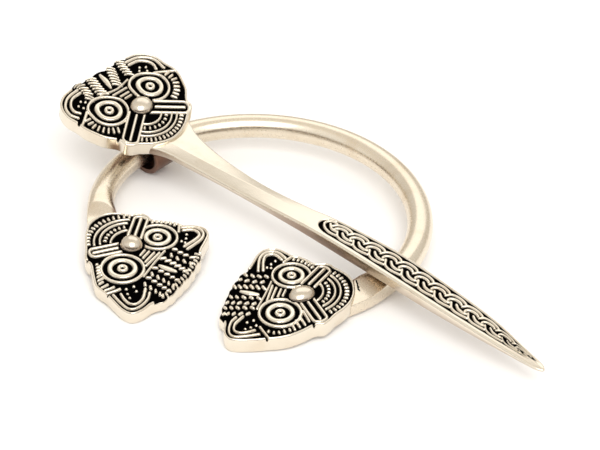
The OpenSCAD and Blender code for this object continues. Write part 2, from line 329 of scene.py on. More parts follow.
# A head in millimetres from its middle: x to the outer side, y along the muzzle.
mask_outline = [
    (-5.9, 3.75), (-5.75, 4.6), (-5.25, 5.15), (-4.75, 5.9), (-3.95, 6.8), (-2.8, 7.4), (-1.2, 7.65),
    (0.5, 7.4), (1.9, 6.7), (3.0, 5.85), (3.9, 5.35), (4.65, 4.75), (4.75, 4.1), (5.1, 3.5), (5.95, 2.55),
    (6.85, 1.25), (7.6, -0.1), (8.05, -1.35), (8.6, -2.9), (9.0, -4.6), (8.85, -5.75), (8.0, -6.3),
    (6.8, -6.45), (5.5, -6.35), (4.75, -6.75), (4.1, -7.15), (3.3, -6.95), (2.6, -7.05), (1.8, -6.8),
    (1.1, -6.75), (0.3, -6.5), (-0.5, -6.4), (-1.1, -6.05), (-1.9, -5.95), (-2.5, -5.5), (-3.3, -5.35),
    (-3.8, -4.75), (-4.5, -4.35), (-5.6, -4.05), (-6.7, -3.75), (-7.6, -3.2), (-8.1, -2.35), (-8.05, -1.45),
    (-7.5, -0.55), (-6.95, 0.25), (-6.85, 1.0), (-6.4, 1.9), (-5.75, 2.85)]
# Eyes: middle, scale. Boss: middle, two radii, turn, height. Bands: root, end, half width. Arcs, dots, row:
# left end, top, right end. Cheeks: line, number of dashes, their length. The rest are points of lines.
mask_parts = {
    "eyes": [((-3.45, 0.45), 0.93), ((3.2, -0.2), 1.0)],
    "boss": ((-0.15, 1.9), 1.6, 1.27, -52, 2.5),
    "bands": [((0.85, 2.55), (3.75, 4.2), 0.8), ((-2.0, 2.5), (-4.75, 3.95), 0.77)],
    "arcs": [((-2.15, 3.8), (-0.85, 4.2), (0.65, 3.72)), ((-3.15, 4.6), (-0.95, 5.55), (1.6, 4.4)),
             ((-3.8, 4.85), (-1.05, 6.15), (2.15, 4.75))],
    "dots": ((-2.6, 4.25), (-0.95, 4.85), (1.05, 4.2)),
    "row": ((-4.4, 5.0), (-1.2, 6.85), (2.7, 5.1)),
    "bars": [((-0.72, 0.02), (0.22, -0.18)), ((-0.85, -0.5), (0.4, -0.72)), ((-1.05, -1.05), (0.75, -1.35)),
             ((-1.4, -1.5), (1.2, -1.85))],
    "brow": [(-2.1, -1.7), (0.1, -2.15), (2.75, -2.8)],
    "cheeks": [([(5.95, 1.1), (6.25, 0.5), (6.5, -0.05), (6.62, -0.6), (6.45, -1.2)], 5, 0.55),
               ([(-5.15, 2.65), (-5.65, 2.15), (-5.98, 1.6), (-6.25, 1.05), (-6.4, 0.45)], 6, 0.56)],
    "cheek_bars": [((2.75, 2.3), (4.35, 3.08)), ((3.65, 1.98), (4.95, 2.68)), ((4.4, 1.62), (5.4, 2.15)),
                   ((5.0, 1.25), (5.85, 1.65))],
    "closing": [((5.75, -2.15), (7.8, -1.2)), ((-5.75, -0.65), (-7.0, 0.3))],
    "ears": [[(6.5, -2.75), (7.1, -3.65), (7.35, -4.55), (6.8, -5.08), (5.5, -4.95), (4.15, -4.2)],
             [(7.25, -2.25), (7.9, -3.6), (8.3, -4.9), (7.85, -5.62), (6.6, -5.78), (5.2, -5.5),
              (4.35, -4.95)],
             [(-6.2, -0.9), (-6.9, -1.55), (-7.05, -2.25), (-6.65, -2.8), (-5.7, -2.93), (-4.1, -2.8)],
             [(-6.5, -0.5), (-7.35, -1.3), (-7.6, -2.15), (-7.2, -2.95), (-6.3, -3.38), (-5.2, -3.42),
              (-3.95, -3.35)]],
    "ear_dots": [(5.4, -2.6), (4.6, -2.98), (5.9, -3.2), (4.98, -3.65), (6.35, -3.8), (-5.95, -1.6),
                 (-5.35, -2.02), (-4.65, -1.95), (-4.7, -2.42)],
    "ropes": [[(-2.55, -2.1), (-2.5, -3.6), (-2.75, -5.3)], [(1.35, -2.6), (1.35, -4.6), (1.4, -6.6)],
              [(3.05, -3.1), (3.15, -4.8), (3.3, -6.7)]],
    "slashes": [[(-0.95, -2.3), (-1.0, -4.0), (-0.85, -5.9)]],
    "leaf": [(0.25, -2.9), (0.1, -3.9), (-0.1, -4.9)],
    "hair": [(5.2, -6.4), (4.4, -5.2), (3.7, -3.4), (0.0, -2.4), (-3.2, -2.0), (-3.6, -3.6), (-4.2, -4.3)],
    "nicks": [((4.6, 3.45), (5.35, 3.85)), ((7.9, -1.45), (8.35, -1.15))]}


def carve_mask(points, parts, rim_distance):
    """Height from 0 to 1 of a head's ornament at each point, how bare the metal is there, and its painted
    shade.
    """
    carved = Relief(points)
    for centre, scale in parts["eyes"]:
        for inner, outer in ((2.12 * scale, 2.48 * scale), (1.08 * scale, 1.64 * scale), (0.21, 0.6 * scale)):
            carved.ring(centre, inner, outer)
    # A band is a narrow U of line with a round end, a line down its middle, and clear ground under both
    for root, end, half in parts["bands"]:
        root = np.array(root)
        end = np.array(end)
        along = (end - root) / np.hypot(*(end - root))
        across = np.array([-along[1], along[0]])
        cap = [end + half * (math.sin(a) * across + 0.7 * math.cos(a) * along)
               for a in np.linspace(math.pi / 2, -math.pi / 2, 13)]
        ground = Relief(points)
        ground.line([root, end], 2 * half + 0.3, soft=0.02)
        ground.height = ground.bare
        carved.clear(ground)
        carved.line([root + half * across - 0.25 * along] + cap + [root - half * across], BAND_LINE)
        carved.line([root + 0.1 * along, end + 0.1 * half * along], BAND_MIDDLE)
    for arc, width in zip(parts["arcs"], ARC_LINES):
        carved.line(arc_through(*arc), width)
    carved.dashes(arc_through(*parts["dots"]), *INNER_DASHES, skip=0.06)
    carved.dashes(arc_through(*parts["row"]), *OUTER_DASHES)
    carved.line(smooth_line(parts["brow"]), BROW_LINE)
    for spine, count, length in parts["cheeks"]:
        carved.dashes(smooth_line(spine), count, length, CHEEK_LINE, skip=0)
    for name, width in (("bars", 0.3), ("cheek_bars", 0.31), ("closing", 0.34)):
        for ends in parts.get(name, []):
            carved.line(ends, width)
    for ear in parts["ears"]:
        carved.line(smooth_line(ear), EAR_LINE)
    for centre in parts["ear_dots"]:
        carved.dot(centre, EAR_DOT, 0.8)
    for spine in parts.get("ropes", []):
        carved.rope(spine)
    for spine in parts.get("slashes", []):
        carved.dashes(smooth_line(spine), 2 * len(spine), 0.82, 0.38, lean=38)
    for spine, half in parts.get("twists", []):
        carved.twist(spine, half)
    for spine, count in parts.get("fringe", []):
        carved.dashes(smooth_line(spine), count, 0.72, 0.25, lean=24)
    leaf = smooth_line(parts["leaf"])
    for k, here in enumerate(leaf):
        swell = math.sin(math.pi * min(1, 0.12 + 0.8 * k / len(leaf))) ** 1.2
        carved.dot(here, 0.08 + 0.24 * swell, 0.95)
    # The smooth rim runs round the plate, apart from the ragged hair
    hair = inside_loop(points, np.array(parts["hair"] + [(-4.6, -FAR), (6.5, -FAR)]))
    carved.add(np.where(hair, FAR, np.maximum(rim_distance - 0.06, 0)), RIM_LINE, 0.97, soft=0.1, crown=0.1)
    for ends in parts["nicks"]:
        nick = Relief(points)
        nick.line(ends, NICK)
        carved.clear(nick)
    # The smooth boss stands over the rest like a pebble, with a faint brown over it and painted shade round
    # its foot
    centre, long, short, turn, tall = parts["boss"]
    turn = math.radians(turn)
    u = (points - centre) @ np.array([math.cos(turn), math.sin(turn)])
    v = (points - centre) @ np.array([-math.sin(turn), math.cos(turn)])
    reach = np.hypot(u / long, v / short)
    pebble = np.sqrt(np.clip(1 - reach ** 2.4, 0, 1)) * tall
    cleared = reach < 1.12
    height = np.maximum(np.where(cleared, 0, carved.height), pebble)
    bare = np.where(cleared, np.clip((1 - reach) / 0.1, 0, 1), carved.bare)
    painted_shade = np.clip((1.02 - reach) / 0.06, 0, 1) * (0.12 + 0.5 * np.clip((reach - 0.75) / 0.25, 0, 1))
    return height, bare, painted_shade


def inside_loop(points, loop):
    """True for the points inside a closed line."""
    x, y = points.T
    odd = np.zeros(len(points), bool)
    for (ax, ay), (bx, by) in zip(loop, np.roll(loop, -1, axis=0)):
        if ay == by:
            continue
        hit = ((ay > y) != (by > y)) & (x < (bx - ax) * (y - ay) / (by - ay) + ax)
        odd ^= hit
    return odd


def nearest_on_loop(points, loop):
    """Distance to a closed line, and the nearest place on it."""
    best = np.full(len(points), FAR)
    place = np.zeros((len(points), 2))
    for a, b in zip(loop, np.roll(loop, -1, axis=0)):
        low = np.minimum(a, b) - 1.2
        top = np.maximum(a, b) + 1.2
        near = np.nonzero(((points > low) & (points < top)).all(1))[0]
        if not len(near):
            continue
        ab = b - a
        q = points[near]
        t = np.clip(((q - a) @ ab) / max(ab @ ab, 1e-12), 0, 1)
        c = a + t[:, None] * ab
        d = np.hypot(*(q - c).T)
        closer = d < best[near]
        best[near[closer]] = d[closer]
        place[near[closer]] = c[closer]
    return best, place


def plate_grid(outline, step):
    """An even grid of squares that fills an outline, its edge pulled onto it, and the loop of its edge."""
    low = outline.min(0) - step
    top = outline.max(0) + step
    nx, ny = (np.ceil((top - low) / step)).astype(int)
    gx, gy = np.meshgrid(np.arange(nx + 1), np.arange(ny + 1), indexing="ij")
    points = np.column_stack([gx.ravel(), gy.ravel()]) * step + low
    middles = points.reshape(nx + 1, ny + 1, 2)[:-1, :-1].reshape(-1, 2) + step / 2
    filled = inside_loop(middles, outline).reshape(nx, ny)
    # No square hangs on by a corner or sticks out alone
    for _ in range(3):
        pad = np.pad(filled, 1)
        sides = pad[:-2, 1:-1].astype(int) + pad[2:, 1:-1] + pad[1:-1, :-2] + pad[1:-1, 2:]
        filled = filled & (sides >= 2)
    index = np.arange((nx + 1) * (ny + 1)).reshape(nx + 1, ny + 1)
    i, j = np.nonzero(filled)
    faces = np.column_stack([index[i, j], index[i + 1, j], index[i + 1, j + 1], index[i, j + 1]])
    used, faces = np.unique(faces, return_inverse=True)
    faces = faces.reshape(-1, 4)
    points = points[used]
    edges = np.concatenate([faces[:, [0, 1]], faces[:, [1, 2]], faces[:, [2, 3]], faces[:, [3, 0]]])
    keys = {(int(a), int(b)) for a, b in edges}
    after = {a: b for a, b in keys if (b, a) not in keys}
    loop = [next(iter(after))]
    while after[loop[-1]] != loop[0]:
        loop.append(after[loop[-1]])
    loop = np.array(loop)
    # The edge goes onto the outline and is spaced evenly, then a few rows behind it settle
    ring = nearest_on_loop(points[loop], outline)[1]
    for _ in range(12):
        ring = 0.5 * ring + 0.25 * (np.roll(ring, 1, 0) + np.roll(ring, -1, 0))
        ring = nearest_on_loop(ring, outline)[1]
    points[loop] = ring
    fixed = np.zeros(len(points), bool)
    fixed[loop] = True
    close = nearest_on_loop(points, outline)[0] < step * 3.5
    for _ in range(6):
        total = np.zeros_like(points)
        count = np.zeros(len(points))
        for a, b in ((0, 1), (1, 2), (2, 3), (3, 0)):
            np.add.at(total, faces[:, a], points[faces[:, b]])
            np.add.at(total, faces[:, b], points[faces[:, a]])
            np.add.at(count, faces[:, a], 1)
            np.add.at(count, faces[:, b], 1)
        moved = close & ~fixed
        points[moved] = 0.4 * points[moved] + 0.6 * total[moved] / count[moved][:, None]
    return points, faces, loop


def make_piece(name, points, faces, bare, painted_shade, place, metal):
    """A mesh from points in millimetres, put in place, with its marks of bare metal and painted shade."""
    mesh = bpy.data.meshes.new(name)
    mesh.from_pydata((np.asarray(points) / 1000).tolist(), [], faces)
    mesh.validate()
    for mark, amounts in (("bare", bare), ("painted_shade", painted_shade)):
        layer = mesh.attributes.new(mark, "FLOAT", "POINT")
        layer.data.foreach_set("value", np.asarray(amounts, np.float32))
    mesh.shade_smooth()
    to_millimetres = Matrix.Diagonal((1000, 1000, 1000, 1))
    in_metres = to_millimetres.inverted() @ place @ to_millimetres
    mesh.transform(in_metres)
    if in_metres.determinant() < 0:
        mesh.flip_normals()
    mesh.materials.append(metal)
    piece = bpy.data.objects.new(name, mesh)
    bpy.context.collection.objects.link(piece)
    return piece


# Rings of a plate's rounded edge: how far outwards, how far below the top edge
ROUND_EDGE = [(0.05, 0.04), (0.09, 0.12), (0.1, 0.24)]
# Rings of the side wall below it: how far outwards, height as a share of the thickness, how bare the metal is
SIDE_WALL = [(0.1, 0.55, 1.0), (0.1, 0.12, 1.0), (0.04, 0.03, 1.0), (-0.08, 0.0, 0.8), (-0.4, 0.0, 0.8)]


def cast_plate(outline_points, parts, as_cast, droop=0.0):
    """The mesh of a whole head: carved top, rounded edge, side wall and plain flat back, a little crooked."""
    outline = smooth_line(outline_points, closed=True, steps=10)
    onward = np.roll(outline, -1, axis=0)
    if np.sum(outline[:, 0] * onward[:, 1] - onward[:, 0] * outline[:, 1]) < 0:
        outline = outline[::-1]
    points, faces, loop = plate_grid(outline, GRID_STEP)
    rim_distance = nearest_on_loop(points, outline)[0]
    height, top_bare, top_painted_shade = carve_mask(points, parts, rim_distance)
    top = PLATE / 2 + RELIEF * height - 0.05 * np.clip(1 - rim_distance / 0.12, 0, 1) ** 2
    edge = points[loop]
    along = np.roll(edge, -1, 0) - np.roll(edge, 1, 0)
    out = np.column_stack([along[:, 1], -along[:, 0]]) / np.maximum(np.hypot(*along.T), 1e-9)[:, None]
    clean = np.zeros(len(loop))
    # Painted shade on the side wall round the given spots
    painted_wall_shade = clean
    for centre in parts.get("painted_wall_shade", []):
        painted_wall_shade = np.maximum(painted_wall_shade, 0.85 * np.exp(-(np.hypot(*(edge - centre).T) / 0.75) ** 4))
    rings = [(push, top[loop] - drop, 1.0, clean) for push, drop in ROUND_EDGE]
    rings += [(push, clean - PLATE / 2 + share * PLATE, bareness, painted_wall_shade)
              for push, share, bareness in SIDE_WALL]
    solid = [np.column_stack([points, top])]
    bare = [top_bare]
    painted_shade = [top_painted_shade]
    faces = faces.tolist()
    last = loop.tolist()
    total = len(points)
    count = len(loop)
    for push, z, bareness, shade_on_ring in rings:
        solid.append(np.column_stack([edge + push * out, z]))
        bare.append(np.full(count, bareness))
        painted_shade.append(shade_on_ring)
        now = list(range(total, total + count))
        faces += [(last[i], now[i], now[(i + 1) % count], last[(i + 1) % count]) for i in range(count)]
        last = now
        total += count
    # The flat back is a fan round its middle
    solid.append([[0.0, -0.2, -PLATE / 2]])
    bare.append([0.8])
    painted_shade.append([0.0])
    faces += [(last[i], total, last[(i + 1) % count]) for i in range(count)]
    solid = np.vstack(solid)
    hair_end = solid[:, 1] < HAIR_FROM
    solid[hair_end, 1] = HAIR_FROM + HAIR_SHARE * (solid[hair_end, 1] - HAIR_FROM)
    solid[:, 0], solid[:, 1] = as_cast(solid[:, 0], solid[:, 1])
    front = ease((FRONT_X * solid[:, 0] + FRONT_Y * solid[:, 1] - THIN_FROM) / THIN_LENGTH)
    above = np.clip((solid[:, 2] + PLATE / 2) / PLATE, 0, 1)
    solid[:, 2] -= droop * above * front
    return solid, faces, np.concatenate(bare), np.concatenate(painted_shade)


def rest_in_front(x, y):
    """Draws the ear's front corner in a little, to where the head rests on the table."""
    over = CORNER_SHARE * np.maximum(FRONT_X * x + FRONT_Y * y - CORNER_FROM, 0)
    return x - FRONT_X * over, y - FRONT_Y * over


def add_socket(group, name, kind, value=None, out=False):
    towards = "OUTPUT" if out else "INPUT"
    socket = group.interface.new_socket(name, in_out=towards, socket_type="NodeSocket" + kind)
    if value is not None:
        socket.default_value = value


def oxide_group():
    """Black oxide in the recesses, uneven where it meets the polished tops, with painted shade mixed into the
    metal: gives a mask and a colour.
    """
    group = bpy.data.node_groups.new("black oxide in recesses", "ShaderNodeTree")
    add_socket(group, "Bare", "Float", 1.0)
    add_socket(group, "Metal", "Color", (0.8, 0.75, 0.68, 1))
    add_socket(group, "Oxide", "Color", (0.0015, 0.0013, 0.0013, 1))
    add_socket(group, "Stain", "Float", 0.25)
    add_socket(group, "Painted shade", "Float", 0.0)
    add_socket(group, "Color", "Color", out=True)
    add_socket(group, "Mask", "Float", out=True)
    into = add_node(group, "NodeGroupInput").outputs
    out = add_node(group, "NodeGroupOutput").inputs
    where = add_node(group, "ShaderNodeTexCoord").outputs["Object"]
    grit = add_node(group, "ShaderNodeTexNoise", {"Vector": where, "Scale": 5200, "Detail": 3})
    ragged = add_node(group, "ShaderNodeMath", {0: grit.outputs[0], 1: 0.34, 2: -0.17},
                      operation="MULTIPLY_ADD")
    rubbed = add_node(group, "ShaderNodeMath", {0: into["Bare"], 1: ragged.outputs[0]}, operation="ADD")
    worn = add_node(group, "ShaderNodeMapRange",
                    {"Value": rubbed.outputs[0], "From Min": 0.3, "From Max": 0.72},
                    interpolation_type="SMOOTHSTEP")
    cloud = add_node(group, "ShaderNodeTexNoise", {"Vector": where, "Scale": 260, "Detail": 4})
    stain_and_shade = add_node(group, "ShaderNodeMapRange",
                     {"Value": cloud.outputs[0], "From Min": 0.5, "From Max": 0.72},
                     interpolation_type="SMOOTHSTEP")
    amount = add_node(group, "ShaderNodeMath", {0: stain_and_shade.outputs[0], 1: into["Stain"]}, operation="MULTIPLY")
    stained = add_node(group, "ShaderNodeMix",
                       {"Factor": amount.outputs[0], "A": into["Metal"], "B": (0.78, 0.66, 0.52, 1)},
                       data_type="RGBA", blend_type="MULTIPLY")
    # A dark brown mixed into the metal as painted shade
    painted_shade_mix = add_node(group, "ShaderNodeMix",
                     {"Factor": into["Painted shade"], "A": stained.outputs["Result"], "B": (0.2, 0.11, 0.075, 1)},
                     data_type="RGBA")
    both = add_node(group, "ShaderNodeMix",
                    {"Factor": worn.outputs[0], "A": into["Oxide"], "B": painted_shade_mix.outputs["Result"]},
                    data_type="RGBA")
    fill(group, out, {"Color": both.outputs["Result"], "Mask": worn.outputs[0]})
    return group


def handling_group():
    """Fine scratches and soft dents from casting, tumbling and wear: gives a normal and a roughness."""
    group = bpy.data.node_groups.new("tumbled and handled surface", "ShaderNodeTree")
    add_socket(group, "Roughness", "Float", 0.24)
    add_socket(group, "Spread", "Float", 0.14)
    add_socket(group, "Depth", "Float", 0.00001)
    add_socket(group, "Uneven roughness", "Float", out=True)
    add_socket(group, "Normal", "Vector", out=True)
    into = add_node(group, "NodeGroupInput").outputs
    out = add_node(group, "NodeGroupOutput").inputs
    where = add_node(group, "ShaderNodeTexCoord").outputs["Object"]
    dents = add_node(group, "ShaderNodeTexNoise", {"Vector": where, "Scale": 420, "Detail": 2})
    grain = add_node(group, "ShaderNodeTexNoise", {"Vector": where, "Scale": 3200, "Detail": 4})
    heights = add_node(group, "ShaderNodeMath", {0: grain.outputs[0], 1: 0.22, 2: dents.outputs[0]},
                       operation="MULTIPLY_ADD")
    bump = add_node(group, "ShaderNodeBump",
                    {"Strength": 1.0, "Distance": into["Depth"], "Height": heights.outputs[0]})
    rough = add_node(group, "ShaderNodeMath", {0: grain.outputs[0], 1: into["Spread"], 2: into["Roughness"]},
                     operation="MULTIPLY_ADD")
    fill(group, out, {"Uneven roughness": rough.outputs[0], "Normal": bump.outputs[0]})
    return group


oxide = oxide_group()
handling = handling_group()


def antique_metal(name, metal, roughness, stain_and_shade, depth):
    """Cast white bronze, blackened and polished."""
    made = bpy.data.materials.new(name)
    made.use_nodes = True
    tree = made.node_tree
    bare = add_node(tree, "ShaderNodeAttribute", attribute_name="bare").outputs["Fac"]
    # Where painted shade darkens the metal
    painted_shade = add_node(tree, "ShaderNodeAttribute", attribute_name="painted_shade").outputs["Fac"]
    dark = add_node(tree, "ShaderNodeGroup", {"Bare": bare, "Painted shade": painted_shade, "Metal": metal, "Stain": stain_and_shade},
                    node_tree=oxide).outputs
    touch = add_node(tree, "ShaderNodeGroup", {"Roughness": roughness, "Depth": depth},
                     node_tree=handling).outputs
    matt = add_node(tree, "ShaderNodeMix",
                    {"Factor": dark["Mask"], "A": OXIDE_ROUGHNESS, "B": touch["Uneven roughness"]},
                    data_type="FLOAT").outputs["Result"]
    fill(tree, tree.nodes["Principled BSDF"].inputs,
         {"Base Color": dark["Color"], "Metallic": dark["Mask"], "Roughness": matt, "Specular IOR Level": 0.0,
          "Normal": touch["Normal"]})
    return made


def right_as_cast(x, y):
    """The right head came out of the mould a little short and skewed."""
    return rest_in_front(0.991 * x - 0.031 * y + 0.37, 0.966 * y - 0.05)


head_metal = antique_metal("blackened and polished heads", metal=(0.81, 0.74, 0.625, 1), roughness=0.14,
                           stain_and_shade=0.25, depth=0.000012)
right_mesh = cast_plate(mask_outline, mask_parts, right_as_cast, droop=0.15)
right_place = (lay_hoop() @ Matrix.Translation((HEAD_X, -HEAD_Y, 0))
               @ Matrix.Rotation(HEAD_TURN - math.pi / 2, 4, "Z"))
right_head = make_piece("right_head", *right_mesh, right_place, head_metal)
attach(right_head, "hoop")
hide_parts("hoop")

# Left head.
# The mirror image of the right one, at the other end of the same casting, with its own outline and bands.
# It is blackened and polished in the same way.
left_outline = [
    (4.35, 4.1), (3.2, 5.05), (1.7, 6.4), (0.65, 7.15), (-0.5, 7.75), (-2.05, 7.8), (-3.3, 7.2),
    (-4.0, 6.35), (-4.5, 5.3), (-5.15, 4.9), (-5.55, 4.4), (-5.6, 3.7), (-5.4, 2.85), (-6.05, 1.75),
    (-6.7, 0.55), (-6.85, -0.4), (-7.6, -1.3), (-8.0, -2.4), (-7.4, -3.45), (-6.0, -4.1), (-4.9, -4.5),
    (-4.3, -4.85), (-3.6, -5.5), (-2.6, -5.75), (-1.9, -6.2), (-1.3, -6.3), (-0.5, -6.65), (0.3, -6.7),
    (1.1, -6.95), (1.8, -6.95), (2.6, -7.2), (3.3, -7.1), (4.1, -7.2), (4.75, -6.75), (5.8, -6.5),
    (7.3, -6.55), (8.5, -6.3), (9.0, -5.7), (8.95, -4.5), (8.15, -2.7), (7.65, -1.6), (7.2, 0.0),
    (6.1, 1.45), (5.0, 2.7), (4.75, 3.4)]
left_parts = dict(
    mask_parts,
    boss=((-0.4, 1.62), 1.28, 1.28, -52, 3.5),
    bands=[((0.75, 2.4), (3.2, 3.85), 0.72), ((-2.0, 2.5), (-4.65, 3.9), 0.74)],
    fringe=[([(3.6, -6.85), (1.1, -6.6), (-0.5, -6.25), (-1.9, -5.8), (-3.3, -5.2), (-4.1, -4.6)], 14)],
    cheeks=[mask_parts["cheeks"][1]],
    cheek_bars=[
        ((4.45, 2.3), (4.55, 2.33)), ((4.5, 1.88), (4.9, 1.96)), ((5.0, 1.55), (5.25, 1.62)),
        ((5.25, 1.22), (5.55, 1.3)), ((5.5, 0.88), (5.95, 0.94)), ((5.8, 0.4), (6.35, 0.5)),
        ((6.2, 0.02), (6.65, 0.09)), ((6.2, -0.66), (7.0, -0.5)), ((6.05, -1.42), (7.15, -1.08))],
    closing=[((5.9, -2.12), (7.7, -1.54)), ((-5.75, -0.65), (-7.0, 0.3))],
    nicks=[((4.2, 3.3), (5.0, 3.6)), ((7.6, -1.9), (8.1, -1.75))])


def left_as_cast(x, y):
    """The left head is skewed the same way, and longer than the right one."""
    return rest_in_front(1.013 * x - 0.032 * y - 0.19, 1.04 * y + 0.22)


left_mesh = cast_plate(left_outline, left_parts, left_as_cast, droop=0.42)
left_place = lay_hoop() @ Matrix.Diagonal((-1, 1, 1, 1)) @ lay_hoop().inverted() @ right_place
left_head = make_piece("left_head", *left_mesh, left_place, head_metal)
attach(left_head, "hoop")
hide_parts("hoop")

# Hoop's bar and its two necks.
# A round cast bar of 2.9 mm, bent to an open ring; each end widens inwards and flattens into its head.
# Only tumbled and polished, so it is the smoothest surface of the brooch.
HOOP_R = 18.5
BAR_R = 1.44
BAR_POINTS = 72
# Angle round the hoop where the right head meets the bar, and the neck's start under the head and its end
NECK_AT = math.radians(-90 + 57)
NECK_START = -1.8
NECK_END = 12.0
FINE_LENGTH = 10.0
FINE_RINGS = 130
BAR_RINGS = 240
# The section's roundness near the head: how much squarer, from where, over what length
SQUARER = 1.4
SQUARE_FROM = 7.5
SQUARE_LENGTH = 5
# The flat cut on top of the necks
CUT_LEAN = 0.16
CUT_SOFT = 0.07
LEFT_CUT_HIGHER = 0.45
LEFT_CUT_FROM = 1.9
LEFT_CUT_LENGTH = 3.6
# The left end is bent in by this much more than the right one, from here to the head
LEFT_BENT_IN = 0.35
LEFT_BENT_FROM = 17
# The short line engraved across the right neck: place along the bar, half width, reach across the bar
ENGRAVED_AT = 0.43
ENGRAVED_HALF = 0.12
ENGRAVED_REACH = (-1.75, -0.2)
# Painted shade on the bar where the pin's head and loop hang over it: angle and reach in degrees
LOOP_SHADE_AT = 157
LOOP_SHADE_REACH = 7
# Distance from the head, reach inwards, reach outwards, half height, height of the flat cut on top
neck_table = np.array([
    (-1.8, 2.2, 1.1, 0.8, 0.55),
    (1.5, 2.35, 1.1, 1.15, 0.64),
    (2.6, 2.4, 1.08, 1.25, 0.8),
    (3.8, 2.2, 1.1, 1.35, 1.02),
    (5.2, 1.85, 1.2, 1.42, 1.25),
    (6.6, 1.62, 1.36, 1.45, 1.46),
    (8.5, 1.44, 1.44, 1.44, 2),
    (12.0, 1.44, 1.44, 1.44, 2)])
neck_run = np.linspace(NECK_START, NECK_END, 277)


def neck_curve(column):
    """One column of the neck's table along neck_run, with its corners smoothed over 1.2 mm."""
    window = np.hanning(25)
    drawn = np.interp(neck_run, neck_table[:, 0], neck_table[:, column])
    return np.convolve(np.pad(drawn, 12, mode="edge"), window / window.sum(), "valid")


neck_curves = [neck_curve(column) for column in (1, 2, 3, 4)]


def bar_section(run, left):
    """The bar's points at a distance from the head: reach outwards, height, and marks of bare metal and
    painted shade.
    """
    inward, outward, tall, flat = (np.interp(run, neck_run, curve) for curve in neck_curves)
    turn = 2 * math.pi * np.arange(BAR_POINTS) / BAR_POINTS
    across = np.cos(turn)
    up = np.sin(turn)
    # The section grows squarer towards the head
    power = 2 + SQUARER * np.clip((SQUARE_FROM - run) / SQUARE_LENGTH, 0, 1)
    reach = np.copysign(np.abs(across) ** (2 / power), across) * np.where(across > 0, outward, inward)
    height = np.copysign(np.abs(up) ** (2 / power), up) * np.where(up > 0, tall, BAR_R)
    # The right neck's flat cut leans towards the front and stays below the head's black ground
    if left:
        cut = flat + LEFT_CUT_HIGHER * ease((run - LEFT_CUT_FROM) / LEFT_CUT_LENGTH)
    else:
        cut = np.minimum(flat - CUT_LEAN * reach, 0.7 + 0.8 * np.maximum(0, run + 0.6 * reach + 0.1))
    # The bar's round side runs into the cut over a soft edge
    cut_edge = cut - CUT_SOFT
    height = np.where(height > cut_edge, cut - CUT_SOFT * np.exp(-(height - cut_edge) / CUT_SOFT), height)
    low, high = ENGRAVED_REACH
    engraved = (np.abs(run - ENGRAVED_AT + 0.6 * reach) < ENGRAVED_HALF) & (reach > low) & (reach < high)
    bare = np.where(engraved & (up > 0) & (not left), 0.0, 1.0)
    # Painted shade on the neck's inner side
    inner = np.clip((-reach - inward * 0.72) / 0.3, 0, 1) * np.clip((6.5 - run) / 2, 0, 1)
    return reach, height, bare, 0.85 * inner


def tube_faces(rings, count):
    """Squares between the rings of points of a bar, and its two closed ends."""
    index = np.arange(rings * count).reshape(rings, count)
    ring = index[:-1]
    onward = index[1:]
    squares = np.stack([ring, onward, np.roll(onward, -1, 1), np.roll(ring, -1, 1)], -1).reshape(-1, 4)
    return squares.tolist() + [index[0].tolist(), index[-1][::-1].tolist()]


def hoop_bar():
    """Rings of a round bar along its centre line, from under one head round to the other."""
    first = NECK_AT + NECK_START / HOOP_R
    final = math.pi - first
    fine = FINE_LENGTH / HOOP_R
    neck = np.linspace(0, fine, FINE_RINGS, endpoint=False)
    between = np.linspace(first + fine, final - fine, BAR_RINGS)
    turns = np.concatenate([first + neck, between, final - neck[::-1]])
    points = []
    bare = []
    painted_shade = []
    for turn in turns:
        left = turn > math.pi / 2
        run = HOOP_R * (math.pi - NECK_AT - turn if left else turn - NECK_AT)
        reach, height, ring_bare, ring_painted_shade = bar_section(run, left)
        shift = -LEFT_BENT_IN * np.clip((LEFT_BENT_FROM - run) / 9, 0, 1) ** 1.5 if left else 0
        radius = HOOP_R + reach + shift
        points.append(np.column_stack([radius * math.cos(turn), radius * math.sin(turn), height]))
        bare.append(ring_bare)
        # Painted shade on the bar under the pin's head and loop
        stain_and_shade = 0.9 * np.exp(-((math.degrees(turn) - LOOP_SHADE_AT) / LOOP_SHADE_REACH) ** 2)
        painted_shade.append(np.maximum(ring_painted_shade, stain_and_shade))
    return np.vstack(points), tube_faces(len(turns), BAR_POINTS), np.concatenate(bare), np.concatenate(painted_shade)


bar_metal = antique_metal("tumbled and polished bar", metal=(0.8, 0.715, 0.585, 1), roughness=0.19,
                          stain_and_shade=0.35, depth=0.000014)
hoop_piece = make_piece("hoop_bar", *hoop_bar(), lay_hoop(), bar_metal)
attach(hoop_piece, "hoop")
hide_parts("hoop")

# Loop under the pin's head.
# A cast ring round the bar, part of the pin's casting, so the pin slides round the hoop.
# It is left rough from the mould, and its dark brown colour is painted shade under the pin's head.
LOOP_AT = math.radians(155)
PIN_TURN = math.radians(-22.9)
PIN_SLOPE = math.radians(0.646)
PIN_ROLL = math.radians(4)
LOOP_IN = 0.35
LOOP_UP = 0.1
LOOP_OUTER = 2.65
LOOP_HOLE = 2.05
LOOP_WIDE = 3.2
LOOP_ROUND = 0.16


def lay_pin():
    at_loop = Matrix.Translation((HOOP_R * math.cos(LOOP_AT), HOOP_R * math.sin(LOOP_AT), 0))
    return (lay_hoop() @ at_loop @ Matrix.Rotation(PIN_TURN, 4, "Z") @ Matrix.Rotation(PIN_SLOPE, 4, "Y")
            @ Matrix.Rotation(PIN_ROLL, 4, "X"))


